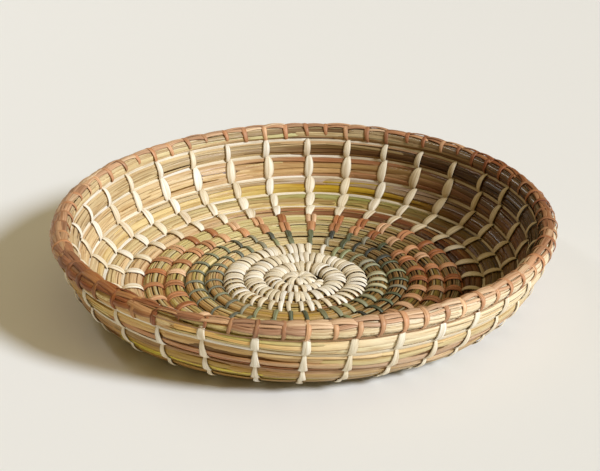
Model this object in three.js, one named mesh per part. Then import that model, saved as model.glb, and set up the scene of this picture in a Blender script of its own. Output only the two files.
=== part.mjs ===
// A shallow round basket of coiled flax leaf.
// Bundles of leaf are laid in one clockwise spiral from a knot at the middle of the floor to the rim.
// Strands of split leaf sew each round to the round below: a strand runs along the top of its round,
// and at each stitch it goes once round the bundle and under the strand of the round below.
// Millimetres, +Z up. The origin lies on the ground under the middle of the rim; -Y is the front.

import * as THREE from 'three';

// Driving sizes
const RIM_DIAMETER = 288; // across the middle of the rim round
const RIM_HEIGHT = 45.5; // middle of the rim round above the ground
const KNUCKLE_RADIUS = 34; // bend from the floor to the wall, at the middle of the coil
const WALL_LEAN = 66; // slope of the upper wall above level, degrees
const COIL_PITCH = 12.6; // one round to the next, along the profile
const BUNDLE_THICKNESS = 9.2; // through the wall
const BUNDLE_SHOULDER = 0.68; // share of a bundle's width that lies flat on the inside and outside
const STRAND_WIDTH = 2.6;
const STRAND_THICKNESS = 0.7;
const CLEARANCE = 0.45; // between pieces that lie on each other
const KNOT_EDGE = 1.6; // worn-off edge of the knot
const KNOT_SIDES = 20;
const TAPER_WIDTH = 2.4; // width of the coil where it starts and where it ends
const TAPER_BODY = 0.4; // thickness left at those two ends, as a share
const CENTRE_SHIFT = -3.6; // how far the knot lies off the middle of the rim
const END_AZIMUTH = 221; // where the rim round tapers out, degrees from +X
const CLIMB_ARC = 0.14; // share of the rim round in which it climbs onto the round below
const CLIMB_GROWTH = 1.25; // each lower round climbs over an arc this much longer, so the rim is level

// Colour bands: the radius on the floor where the green and the rust sewing start, and how far
// inside the edge of the level floor the cream sewing of the wall starts
const GREEN_RADIUS = 37.5;
const RUST_RADIUS = 64;
const CREAM_INSET = 10.2;

// Stitches
const CENTRE_COLUMNS = 8; // stitches to a round at the knot
const WALL_DOUBLINGS = 2; // the columns double this often on the way out to the wall
const RIM_DOUBLINGS = 1; // and this often again on the rim round
const STITCHES_PER_STRAND = 16;

// Sizes that follow
const TURN = 2 * Math.PI;
const SEAM = 3 * CLEARANCE + 2 * STRAND_THICKNESS; // between two bundles, where two strands cross
const FULL_WIDTH = COIL_PITCH - SEAM;
const RUN_REACH = 2 * CLEARANCE + 1.5 * STRAND_THICKNESS; // bundle edge to the middle of a strand run
const FACE_REACH = CLEARANCE + STRAND_THICKNESS / 2; // bundle face to the middle of a stitch
const FLOOR_LEVEL = BUNDLE_THICKNESS / 2 + CLEARANCE + STRAND_THICKNESS;
const STITCH_STEP = STRAND_WIDTH + 2 * CLEARANCE; // each stitch stands this far beside the one below
const STITCH_ROOM = 2 * STITCH_STEP + CLEARANCE; // least spacing of stitches in a round
const HITCH = 0.6 * STRAND_WIDTH; // the strand turns off its run this far before a stitch
const LEAN = THREE.MathUtils.degToRad(WALL_LEAN);
const KNUCKLE_RISE = KNUCKLE_RADIUS * (1 - Math.cos(LEAN));
const WALL_LENGTH = (RIM_HEIGHT - FLOOR_LEVEL - KNUCKLE_RISE) / Math.sin(LEAN);
const FLOOR_RADIUS = RIM_DIAMETER / 2 - KNUCKLE_RADIUS * Math.sin(LEAN) - WALL_LENGTH * Math.cos(LEAN);
const EDGE = FLOOR_RADIUS + KNUCKLE_RADIUS * LEAN + WALL_LENGTH + COIL_PITCH / 2; // top of the rim
const KNOT_SEAM = (CENTRE_COLUMNS * STITCH_ROOM) / TURN; // just wide enough for the first stitches
const KNOT_RADIUS = KNOT_SEAM - SEAM / 2;
const RUN_SAG = STRAND_THICKNESS + CLEARANCE; // how far a straight run may cut into the bend of its round

// The profile: a level floor, a round knuckle and a straight leaning wall, by the length along it
function profile(s) {
  const bend = THREE.MathUtils.clamp((s - FLOOR_RADIUS) / KNUCKLE_RADIUS, 0, LEAN);
  const straight = s - FLOOR_RADIUS - bend * KNUCKLE_RADIUS;
  return {
    r: FLOOR_RADIUS + KNUCKLE_RADIUS * Math.sin(bend) + straight * Math.cos(bend),
    z: FLOOR_LEVEL + KNUCKLE_RADIUS * (1 - Math.cos(bend)) + straight * Math.sin(bend),
    slope: bend,
  };
}

// A point of the basket: turns before the rim's end, a length along the coil from there, a length
// along the profile and a lift off it towards the inside. A bulge above 1 puts a bend of the coil
// outside the true curve, so that the straight between two bends touches the curve at its middle.
function point(turn, along, s, lift, bulge = 1) {
  const { r, z, slope } = profile(s);
  const radius = (r - lift * Math.sin(slope)) * bulge;
  const azimuth = THREE.MathUtils.degToRad(END_AZIMUTH) - TURN * turn - along / r;
  const shift = CENTRE_SHIFT * (1 - s / EDGE);
  const x = shift + radius * Math.cos(azimuth);
  return new THREE.Vector3(x, radius * Math.sin(azimuth), z + lift * Math.cos(slope));
}

// The seam under the coil, by its length along the profile. Turn 0 is the end of the rim round,
// and the seam over the coil is the seam one turn later.
function seam(turn) {
  if (turn >= 0) return EDGE;
  const round = Math.floor(turn);
  const arc = Math.min(1, CLIMB_ARC * CLIMB_GROWTH ** (-1 - round));
  const part = THREE.MathUtils.clamp((turn - round - 1 + arc) / arc, 0, 1);
  const climb = THREE.MathUtils.lerp(part, THREE.MathUtils.smoothstep(part, 0, 1), 1 - arc);
  return Math.max(KNOT_SEAM, EDGE + COIL_PITCH * (round + climb));
}

const middle = (turn) => (seam(turn) + seam(turn + 1)) / 2;
const width = (turn) => seam(turn + 1) - seam(turn) - SEAM;

function thickness(turn) {
  const fill = Math.min(1, width(turn) / (BUNDLE_SHOULDER * FULL_WIDTH));
  return BUNDLE_THICKNESS * THREE.MathUtils.lerp(TAPER_BODY, 1, fill);
}

// The turn at which the evenly wound floor reaches a radius
const turnAt = (radius) => (radius - EDGE) / COIL_PITCH;
const START_TURN = turnAt(KNOT_SEAM + SEAM + TAPER_WIDTH) - 1;
const FINE_TURN = 0.001;
let endTurn = 0;
while (width(endTurn) < TAPER_WIDTH) endTurn -= FINE_TURN;
const END_TURN = endTurn;
const RIM_TURN = END_TURN - 1; // from here on no round lies over the coil
const WALL_TURN = turnAt(FLOOR_RADIUS - CREAM_INSET);

// Stitches to a round: the columns double where the round has grown wide enough for it
function columns(turn) {
  if (turn >= RIM_TURN) return CENTRE_COLUMNS * 2 ** (WALL_DOUBLINGS + RIM_DOUBLINGS);
  let count = CENTRE_COLUMNS * 2 ** WALL_DOUBLINGS;
  while (count > CENTRE_COLUMNS && (TURN * seam(turn)) / count < STITCH_ROOM) count /= 2;
  return count;
}

// The stitches, in the order in which they are sewn
const stitches = [];
let nextStitch = START_TURN + 0.5 / CENTRE_COLUMNS;
while (nextStitch < END_TURN) {
  stitches.push(nextStitch);
  const aside = STITCH_STEP / (TURN * profile(seam(nextStitch)).r);
  nextStitch += (1 - aside) / columns(nextStitch);
}
stitches.push(nextStitch);

// Between two stitches a round is bent more than once where the round above has more stitches, where
// a straight run of strand would cut too far into the bend, or where the bend would rise too far
// under the stitches of the round above
function partsOfRun(index) {
  const gap = stitches[index + 1] - stitches[index];
  const turn = stitches[index] + gap / 2;
  const { r, slope } = profile(seam(turn + 1));
  const sag = (angle) => r * Math.cos(slope) * (1 / Math.cos(angle) - Math.cos(angle));
  const rise = (angle) => Math.min(r * angle, STITCH_STEP + STRAND_WIDTH / 2) ** 2 / (2 * r);
  const share = Math.max(1, Math.round(columns(turn + 1) / columns(turn)));
  let parts = share;
  let angle = (TURN * gap) / (2 * parts);
  while (sag(angle) > RUN_SAG || rise(angle) > CLEARANCE / 2) {
    parts += share;
    angle = (TURN * gap) / (2 * parts);
  }
  return parts;
}

const stops = [];
for (let index = 0; index + 1 < stitches.length; index += 1) {
  const parts = partsOfRun(index);
  for (let part = 0; part < parts; part += 1) {
    stops.push(THREE.MathUtils.lerp(stitches[index], stitches[index + 1], part / parts));
  }
}

// A closed solid through rings of points, each ring clockwise as seen along the way it runs
function loft(rings) {
  const sides = rings[0].length;
  const positions = rings.flat().flatMap((corner) => corner.toArray());
  const index = [];
  for (let ring = 0; ring + 1 < rings.length; ring += 1) {
    for (let side = 0; side < sides; side += 1) {
      const a = ring * sides + side;
      const b = ring * sides + ((side + 1) % sides);
      index.push(a, b, b + sides, a, b + sides, a + sides);
    }
  }
  const last = (rings.length - 1) * sides;
  for (let side = 1; side + 1 < sides; side += 1) {
    index.push(0, side + 1, side, last, last + side, last + side + 1);
  }
  const geometry = new THREE.BufferGeometry();
  geometry.setAttribute('position', new THREE.Float32BufferAttribute(positions, 3));
  geometry.setIndex(index);
  geometry.computeVertexNormals();
  return geometry;
}

// One ring of a bundle: flat on the inside and outside, with a ridge towards each seam
function bundleRing(turn, bulge) {
  const s = middle(turn);
  const ridge = width(turn) / 2;
  const shoulder = ridge * BUNDLE_SHOULDER;
  const face = thickness(turn) / 2;
  return [
    point(turn, 0, s + shoulder, face, bulge),
    point(turn, 0, s - shoulder, face, bulge),
    point(turn, 0, s - ridge, 0, bulge),
    point(turn, 0, s - shoulder, -face, bulge),
    point(turn, 0, s + shoulder, -face, bulge),
    point(turn, 0, s + ridge, 0, bulge),
  ];
}

// A length of bundle between two turns, with a bend midway between any two of its stops
function bundleRings(from, to) {
  const rings = [bundleRing(from, 1)];
  for (let index = 0; index + 1 < stops.length; index += 1) {
    const bend = (stops[index] + stops[index + 1]) / 2;
    if (bend <= from || bend >= to) continue;
    rings.push(bundleRing(bend, 1 / Math.cos((TURN * (stops[index + 1] - stops[index])) / 2)));
  }
  rings.push(bundleRing(to, 1));
  return rings;
}

// One ring of a strand: flat on the side that shows. Across, out and their signs are in the
// directions along the coil, up the profile and towards the inside.
function strandRing(turn, at, across, out) {
  const corner = (side, face) => point(
    turn,
    at.along + side * across.along,
    at.s + face * out.s,
    at.lift + side * across.lift + face * out.lift,
  );
  return [corner(-1, 1), corner(1, 1), corner(0, -1)];
}

// How far the knuckle bows out past a straight line from one seam of a round to the other
function sagOfChord(turn, s, reach, lift) {
  const chord = point(turn, 0, s - reach, lift).lerp(point(turn, 0, s + reach, lift), 0.5);
  const skin = point(turn, 0, s, lift);
  const outward = skin.clone().sub(point(turn, 0, s, 0)).normalize();
  return Math.max(0, skin.sub(chord).dot(outward));
}

// A strand from one stitch up to the next strand's first stitch
function strandRings(first, end) {
  const half = STRAND_WIDTH / 2;
  const deep = STRAND_THICKNESS / 2;
  const back = { along: -half, lift: 0 };
  const square = { along: 0, lift: half };
  const up = { s: deep, lift: 0 };
  const rings = [];
  for (let index = first; index < end; index += 1) {
    const turn = stitches[index];
    const s = middle(turn);
    const reach = width(turn) / 2 + RUN_REACH;
    const face = thickness(turn) / 2 + FACE_REACH;
    const bow = 2 * sagOfChord(turn, s, reach, -face);

    // Turn off the run towards the inside, with a mitred fold
    const fold = new THREE.Vector2(-face, HITCH).normalize().add(new THREE.Vector2(0, 1));
    fold.multiplyScalar((2 / fold.lengthSq()) * half);
    const mitre = { along: fold.x, lift: fold.y };
    const turnOff = { along: -HITCH, s: s + reach, lift: 0 };
    rings.push(strandRing(turn, turnOff, index === first ? square : mitre, up));

    // Once round the bundle: down the inside, under, and up the outside
    for (const [high, side] of [[1, 1], [-1, 1], [-1, -1], [1, -1]]) {
      const lift = side * face - (high > side ? bow : 0);
      const at = { along: 0, s: s + high * reach, lift };
      rings.push(strandRing(turn, at, back, { s: high * deep, lift: side * deep }));
    }

    // Along the top of the round, to the next stitch
    const next = stitches[index + 1];
    const parts = partsOfRun(index);
    for (let part = 1; part < parts; part += 1) {
      const way = THREE.MathUtils.lerp(turn, next, part / parts);
      const top = middle(way) + width(way) / 2 + RUN_REACH;
      rings.push(strandRing(way, { along: 0, s: top, lift: 0 }, square, up));
    }
  }
  const tail = stitches[end];
  const tailTop = middle(tail) + width(tail) / 2 + RUN_REACH;
  rings.push(strandRing(tail, { along: -HITCH - CLEARANCE, s: tailTop, lift: 0 }, square, up));
  return rings;
}

// Materials: dry leaf of several tones, and strands in three colours
const leaf = (color, roughness) => new THREE.MeshStandardMaterial({ color, roughness, metalness: 0 });
const FINISH = {
  straw: leaf(0xc9a765, 0.55),
  honey: leaf(0xb98d4d, 0.5),
  olive: leaf(0xa59a58, 0.5),
  brown: leaf(0x96683c, 0.48),
  umber: leaf(0x7c5a3a, 0.5),
  cream: leaf(0xe8dcc0, 0.6),
  rust: leaf(0xb3714d, 0.58),
  green: leaf(0x5d6752, 0.55),
};

const basket = new THREE.Group();

function add(name, geometry, material) {
  const mesh = new THREE.Mesh(geometry, material);
  mesh.name = name;
  basket.add(mesh);
  return mesh;
}

// The starting knot: a flat button of tightly wound leaf
const knotTop = 2 * FLOOR_LEVEL;
const knotProfile = [
  [0, 0],
  [KNOT_RADIUS - KNOT_EDGE, 0],
  [KNOT_RADIUS, KNOT_EDGE],
  [KNOT_RADIUS, knotTop - KNOT_EDGE],
  [KNOT_RADIUS - KNOT_EDGE, knotTop],
  [0, knotTop],
].map(([radius, height]) => new THREE.Vector2(radius, height));
const knotButton = new THREE.LatheGeometry(knotProfile, KNOT_SIDES).rotateX(Math.PI / 2);
const knot = add('centre_knot', knotButton, FINISH.cream);
knot.position.x = CENTRE_SHIFT * (1 - KNOT_RADIUS / EDGE);

// The bundles: one length for each band of the floor, one for each round of the wall and one for
// the rim. Lengths meet end to end at a stitch, which binds the splice.
const bundles = [
  ['centre_bundle', START_TURN, FINISH.straw],
  ['green_band_bundle', turnAt(GREEN_RADIUS), FINISH.honey],
  ['rust_band_bundle', turnAt(RUST_RADIUS), FINISH.olive],
  ['wall_bundle_1', WALL_TURN, FINISH.brown],
  ['wall_bundle_2', -5, FINISH.olive],
  ['wall_bundle_3', -4, FINISH.honey],
  ['wall_bundle_4', -3, FINISH.brown],
  ['wall_bundle_5', -2, FINISH.straw],
  ['rim_bundle', RIM_TURN, FINISH.umber],
];
const nearestStop = (turn) => stops.reduce((a, b) => (Math.abs(b - turn) < Math.abs(a - turn) ? b : a));
const splice = (turn, side) => turn + (side * CLEARANCE) / (2 * TURN * profile(middle(turn)).r);
const coiled = [];
bundles.forEach(([name, start, material], index) => {
  const from = index === 0 ? START_TURN : splice(nearestStop(start), 1);
  const to = index + 1 < bundles.length ? splice(nearestStop(bundles[index + 1][1]), -1) : END_TURN;
  const rings = bundleRings(from, to);
  add(name, loft(rings), material);
  if (to - from > 1) coiled.push(rings);
});

// The strands: each sews the same number of stitches, and a band ends where its colour does
const bands = [
  ['centre_strand', START_TURN, FINISH.cream],
  ['green_strand', turnAt(GREEN_RADIUS), FINISH.green],
  ['rust_strand', turnAt(RUST_RADIUS), FINISH.rust],
  ['wall_strand', WALL_TURN, FINISH.cream],
  ['rim_strand', RIM_TURN, FINISH.rust],
];
const lastStitch = stitches.length - 1;
const firstAfter = (turn) => stitches.findIndex((stitch) => stitch >= turn);
bands.forEach(([name, start, material], band) => {
  const first = firstAfter(start);
  const end = band + 1 < bands.length ? firstAfter(bands[band + 1][1]) : lastStitch;
  const strands = Math.max(1, Math.round((end - first) / STITCHES_PER_STRAND));
  for (let strand = 0; strand < strands; strand += 1) {
    const from = first + Math.round(((end - first) * strand) / strands);
    const to = first + Math.round(((end - first) * (strand + 1)) / strands);
    const number = String(strand + 1).padStart(2, '0');
    add(`${name}_${number}`, loft(strandRings(from, to)), material);
  }
});

// The least gap of a coiled bundle to its own next round, on points along its two ridges
function leastGap(rings) {
  const steps = 4; // points between two bends
  const nearby = 3; // bends of the same round that are left out
  const [innerRidge, outerRidge] = [2, 5]; // corners of a bundle's ring
  const along = (ridge) => rings.slice(1).flatMap((ring, index) => Array.from(
    { length: steps },
    (_, step) => ({ at: index, spot: rings[index][ridge].clone().lerp(ring[ridge], step / steps) }),
  ));
  const outer = along(outerRidge);
  const inner = along(innerRidge);
  let least = Infinity;
  for (const a of outer) {
    for (const b of inner) {
      if (b.at - a.at > nearby) least = Math.min(least, a.spot.distanceTo(b.spot));
    }
  }
  return least;
}
const gaps = coiled.map(leastGap).map((gap) => gap.toFixed(2));
console.log('least gap of each coiled bundle to itself, mm:', gaps.join(', '));
console.log('stitches:', lastStitch, 'rounds:', (END_TURN - START_TURN).toFixed(2));

export default basket;
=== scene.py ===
import math

import bpy
import numpy as np
from mathutils import Matrix, Vector


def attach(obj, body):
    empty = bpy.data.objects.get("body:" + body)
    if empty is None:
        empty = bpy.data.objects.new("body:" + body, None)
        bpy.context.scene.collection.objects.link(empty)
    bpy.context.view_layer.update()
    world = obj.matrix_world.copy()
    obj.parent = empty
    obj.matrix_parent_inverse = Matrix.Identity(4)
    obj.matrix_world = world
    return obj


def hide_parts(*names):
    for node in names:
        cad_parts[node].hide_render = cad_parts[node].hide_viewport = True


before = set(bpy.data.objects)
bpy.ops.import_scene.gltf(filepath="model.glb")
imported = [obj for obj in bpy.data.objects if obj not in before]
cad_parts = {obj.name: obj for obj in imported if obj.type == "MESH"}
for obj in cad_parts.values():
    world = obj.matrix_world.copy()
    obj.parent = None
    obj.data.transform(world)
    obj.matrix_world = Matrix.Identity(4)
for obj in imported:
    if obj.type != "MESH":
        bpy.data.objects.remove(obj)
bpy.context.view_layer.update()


# Starting knot
# The tight button of split cream leaf in the middle of the floor, from which the coil sets out.
# It is wound by hand from one strip, and the first stitches are drawn over it towards the middle.

# Lengths are in millimetres, and Leaves makes them metres
MM = 0.001
TURN = 2 * math.pi
RIM_DIAMETER = 288.0
RIM_HEIGHT = 45.5
KNUCKLE_RADIUS = 34.0
WALL_LEAN = math.radians(66)
COIL_PITCH = 12.6
FLOOR_LEVEL = 5.75
CENTRE_SHIFT = -3.6
END_AZIMUTH = math.radians(221)
KNUCKLE_HEIGHT = KNUCKLE_RADIUS * (1 - math.cos(WALL_LEAN))
WALL_LENGTH = (RIM_HEIGHT - FLOOR_LEVEL - KNUCKLE_HEIGHT) / math.sin(WALL_LEAN)
FLOOR_RADIUS = RIM_DIAMETER / 2 - KNUCKLE_RADIUS * math.sin(WALL_LEAN) - WALL_LENGTH * math.cos(WALL_LEAN)
EDGE = FLOOR_RADIUS + KNUCKLE_RADIUS * WALL_LEAN + WALL_LENGTH + COIL_PITCH / 2
LEAST_RADIUS = 1.0
STITCH_ROOM = 7.45
CENTRE_COLUMNS = 8
KNOT_SEAM = CENTRE_COLUMNS * STITCH_ROOM / TURN


def profile(s):
    """Radius, height and slope of the basket by the length along its profile."""
    bend = np.clip((s - FLOOR_RADIUS) / KNUCKLE_RADIUS, 0, WALL_LEAN)
    straight = s - FLOOR_RADIUS - bend * KNUCKLE_RADIUS
    r = FLOOR_RADIUS + KNUCKLE_RADIUS * np.sin(bend) + straight * np.cos(bend)
    z = FLOOR_LEVEL + KNUCKLE_RADIUS * (1 - np.cos(bend)) + straight * np.sin(bend)
    return r, z, bend


def azimuth(turn, along=0.0, s=EDGE):
    """The angle round the basket, counted from the right towards the back."""
    return END_AZIMUTH - TURN * turn - along / np.maximum(profile(s)[0], LEAST_RADIUS)


def alike(*values):
    return np.broadcast_arrays(*(np.asarray(value, float) for value in values))


def place(turn, along, s, lift):
    """Points of the basket, by turns that reach 0 at the rim's end, a length along the coil, a length
    along the profile and a lift off it towards the inside."""
    turn, along, s, lift = alike(turn, along, s, lift)
    r, z, slope = profile(s)
    angle = azimuth(turn, along, s)
    radius = r - lift * np.sin(slope)
    shift = CENTRE_SHIFT * (1 - s / EDGE)
    return np.stack([shift + radius * np.cos(angle), radius * np.sin(angle), z + lift * np.cos(slope)], -1)


def facing(turn, along, s, lift_part, s_part):
    """Directions that look towards the inside by lift_part and up the profile by s_part."""
    turn, along, s, lift_part, s_part = alike(turn, along, s, lift_part, s_part)
    slope = profile(s)[2]
    angle = azimuth(turn, along, s)
    level = s_part * np.cos(slope) - lift_part * np.sin(slope)
    upright = s_part * np.sin(slope) + lift_part * np.cos(slope)
    way = np.stack([level * np.cos(angle), level * np.sin(angle), upright], -1)
    return way / np.linalg.norm(way, axis=-1, keepdims=True)


def linear(colour):
    """A colour as it is seen, six hexadecimal digits, in the linear values that the shader takes."""
    parts = np.array([int(colour[i:i + 2], 16) for i in (0, 2, 4)]) / 255
    return np.where(parts <= 0.04045, parts / 12.92, ((parts + 0.055) / 1.055) ** 2.4)


def tones_of(colours):
    return [linear(colour) for colour in colours.split()]


class Leaves:
    """The paths that strips of leaf follow, each with the way it faces, its half width and its colour."""

    FIELDS = {"facing": ("FLOAT_VECTOR", "vector"), "half_width": ("FLOAT", "value"),
              "tone": ("FLOAT_COLOR", "color"), "strip": ("FLOAT", "value"),
              "heart": ("FLOAT", "value"), "shine": ("FLOAT", "value")}

    def __init__(self, seed):
        self.chance = np.random.default_rng(seed)
        self.parts = {key: [] for key in ("point", *self.FIELDS)}
        self.edges = []
        self.count = 0

    def pick(self, tones, least, most):
        """One of the tones by chance, made a little darker or lighter."""
        return tones[self.chance.integers(len(tones))] * self.chance.uniform(least, most)

    def lay(self, points, ways, half_width, tone, heart=0.0, shine=0.0):
        """Adds one path. A heart of 1 makes it the core of a bundle, and shine is a strip's gloss."""
        number = len(points)
        tone = np.broadcast_to(np.asarray(tone, float), (number, 3))
        added = {"point": points * MM,
                 "facing": np.broadcast_to(ways, (number, 3)),
                 "half_width": np.full(number, half_width) * MM,
                 "tone": np.concatenate([tone, np.ones((number, 1))], 1),
                 "strip": np.full(number, self.chance.random()),
                 "heart": np.full(number, heart),
                 "shine": np.full(number, shine)}
        for key, values in added.items():
            self.parts[key].append(values)
        first = np.arange(self.count, self.count + number - 1)
        self.edges.append(np.stack([first, first + 1], 1))
        self.count += number

    def mesh(self, name):
        """The paths as a mesh, with what they carry."""
        values = {key: np.concatenate(parts) for key, parts in self.parts.items()}
        edges = np.concatenate(self.edges)
        mesh = bpy.data.meshes.new(name)
        mesh.vertices.add(self.count)
        mesh.vertices.foreach_set("co", values["point"].ravel())
        mesh.edges.add(len(edges))
        mesh.edges.foreach_set("vertices", edges.ravel())
        for key, (kind, field) in self.FIELDS.items():
            attribute = mesh.attributes.new(key, kind, "POINT")
            attribute.data.foreach_set(field, values[key].ravel())
        return mesh


# The tree that sweeps a flat strip of leaf along each path, and a full round bundle along a heart
scene = bpy.context.scene
STRIP_SIDES = 8
HEART_SIDES = 12
leaf_tree = bpy.data.node_groups.new("Leaf along a path", "GeometryNodeTree")
leaf_inputs = {}
for label, kind in (("Geometry", "NodeSocketGeometry"), ("Thickness", "NodeSocketFloat"),
                    ("Camber", "NodeSocketFloat"), ("Heart Thickness", "NodeSocketFloat"),
                    ("Sides", "NodeSocketInt"), ("Material", "NodeSocketMaterial")):
    socket = leaf_tree.interface.new_socket(label, in_out="INPUT", socket_type=kind)
    leaf_inputs[label] = socket.identifier
leaf_tree.interface.new_socket("Geometry", in_out="OUTPUT", socket_type="NodeSocketGeometry")


def step(kind, settings, values):
    """Adds one node to the leaf tree, with its settings and the values or links of its inputs."""
    made = leaf_tree.nodes.new(kind)
    for key, value in settings.items():
        setattr(made, key, value)
    for key, value in values.items():
        if isinstance(value, bpy.types.NodeSocket):
            leaf_tree.links.new(value, made.inputs[key])
        else:
            made.inputs[key].default_value = value
    return made


def named(name, kind):
    return step("GeometryNodeInputNamedAttribute", {"data_type": kind}, {"Name": name}).outputs["Attribute"]


def calc(operation, a, b):
    return step("ShaderNodeMath", {"operation": operation}, {0: a, 1: b}).outputs[0]


def section_of(thickness, camber, sides):
    """The section of a strip: an ellipse one unit wide to each side, bent over what it lies on."""
    ring = step("GeometryNodeCurvePrimitiveCircle", {}, {"Resolution": sides, "Radius": 1.0})
    spot = step("ShaderNodeSeparateXYZ", {}, {0: step("GeometryNodeInputPosition", {}, {}).outputs[0]})
    across = spot.outputs["Y"]
    dip = calc("MULTIPLY", camber, calc("MULTIPLY", across, across))
    out = calc("SUBTRACT", calc("MULTIPLY", spot.outputs["X"], thickness), dip)
    marked = step("GeometryNodeStoreNamedAttribute", {"data_type": "FLOAT", "domain": "POINT"},
                  {"Geometry": ring.outputs["Curve"], "Name": "across", "Value": across})
    new_spot = step("ShaderNodeCombineXYZ", {}, {"X": out, "Y": across})
    return step("GeometryNodeSetPosition", {},
                {"Geometry": marked.outputs[0], "Position": new_spot.outputs[0]})


entry = leaf_tree.nodes.new("NodeGroupInput")
path = step("GeometryNodeMeshToCurve", {}, {"Mesh": entry.outputs["Geometry"]})
aimed = step("GeometryNodeSetCurveNormal", {"mode": "FREE"},
             {"Curve": path.outputs[0], "Normal": named("facing", "FLOAT_VECTOR")})
measured = step("GeometryNodeStoreNamedAttribute", {"data_type": "FLOAT", "domain": "POINT"},
                {"Geometry": aimed.outputs[0], "Name": "along",
                 "Value": step("GeometryNodeSplineParameter", {}, {}).outputs["Length"]})
parted = step("GeometryNodeSeparateGeometry", {"domain": "CURVE"},
              {"Geometry": measured.outputs[0], "Selection": named("heart", "FLOAT")})
strips = step("GeometryNodeCurveToMesh", {}, {
    "Curve": parted.outputs["Inverted"], "Scale": named("half_width", "FLOAT"), "Fill Caps": True,
    "Profile Curve": section_of(entry.outputs["Thickness"], entry.outputs["Camber"],
                                entry.outputs["Sides"]).outputs[0]})
hearts = step("GeometryNodeCurveToMesh", {}, {
    "Curve": parted.outputs["Selection"], "Scale": named("half_width", "FLOAT"), "Fill Caps": True,
    "Profile Curve": section_of(entry.outputs["Heart Thickness"], 0.0, HEART_SIDES).outputs[0]})
joined = step("GeometryNodeJoinGeometry", {}, {})
leaf_tree.links.new(strips.outputs[0], joined.inputs[0])
leaf_tree.links.new(hearts.outputs[0], joined.inputs[0])
real = step("GeometryNodeRealizeInstances", {}, {"Geometry": joined.outputs[0]})
smooth = step("GeometryNodeSetShadeSmooth", {}, {"Geometry": real.outputs[0]})
finished = step("GeometryNodeSetMaterial", {},
                {"Geometry": smooth.outputs[0], "Material": entry.outputs["Material"]})
leaf_tree.links.new(finished.outputs[0], leaf_tree.nodes.new("NodeGroupOutput").inputs[0])


def grow(name, leaves, material, thickness, camber, heart_thickness=0.75):
    """Sweeps the strips along their paths and leaves a plain mesh in their place. The thicknesses
    and the camber are shares of the half width."""
    draft = bpy.data.objects.new(name + "_paths", leaves.mesh(name + "_paths"))
    scene.collection.objects.link(draft)
    modifier = draft.modifiers.new("Leaf", "NODES")
    modifier.node_group = leaf_tree
    for label, value in (("Thickness", thickness), ("Camber", camber), ("Heart Thickness", heart_thickness),
                         ("Sides", STRIP_SIDES), ("Material", material)):
        modifier[leaf_inputs[label]] = value
    ready = draft.evaluated_get(bpy.context.evaluated_depsgraph_get())
    mesh = bpy.data.meshes.new_from_object(ready)
    draft.modifiers.remove(modifier)
    bpy.data.objects.remove(draft)
    mesh.name = name
    for spare in ("facing", "half_width", "heart"):
        if spare in mesh.attributes:
            mesh.attributes.remove(mesh.attributes[spare])
    piece = bpy.data.objects.new(name, mesh)
    scene.collection.objects.link(piece)
    return piece


class Shade:
    """A shader socket: arithmetic on it adds Math nodes, and node() adds any other node."""

    def __init__(self, tree, socket=None):
        self.tree = tree
        self.socket = socket

    def node(self, kind, settings, values, output=0):
        made = self.tree.nodes.new(kind)
        for key, value in settings.items():
            setattr(made, key, value)
        for key, value in values.items():
            if isinstance(value, Shade):
                self.tree.links.new(value.socket, made.inputs[key])
            else:
                made.inputs[key].default_value = value
        return Shade(self.tree, made.outputs[output])

    def __add__(self, other):
        return self.node("ShaderNodeMath", {"operation": "ADD"}, {0: self, 1: other})

    def __rsub__(self, other):
        return self.node("ShaderNodeMath", {"operation": "SUBTRACT"}, {0: other, 1: self})

    def __mul__(self, other):
        return self.node("ShaderNodeMath", {"operation": "MULTIPLY"}, {0: self, 1: other})

    __radd__ = __add__
    __rmul__ = __mul__


STAINED = (0.66, 0.52, 0.36)
FIBRE_DEPTH = 0.25 * MM


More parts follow.
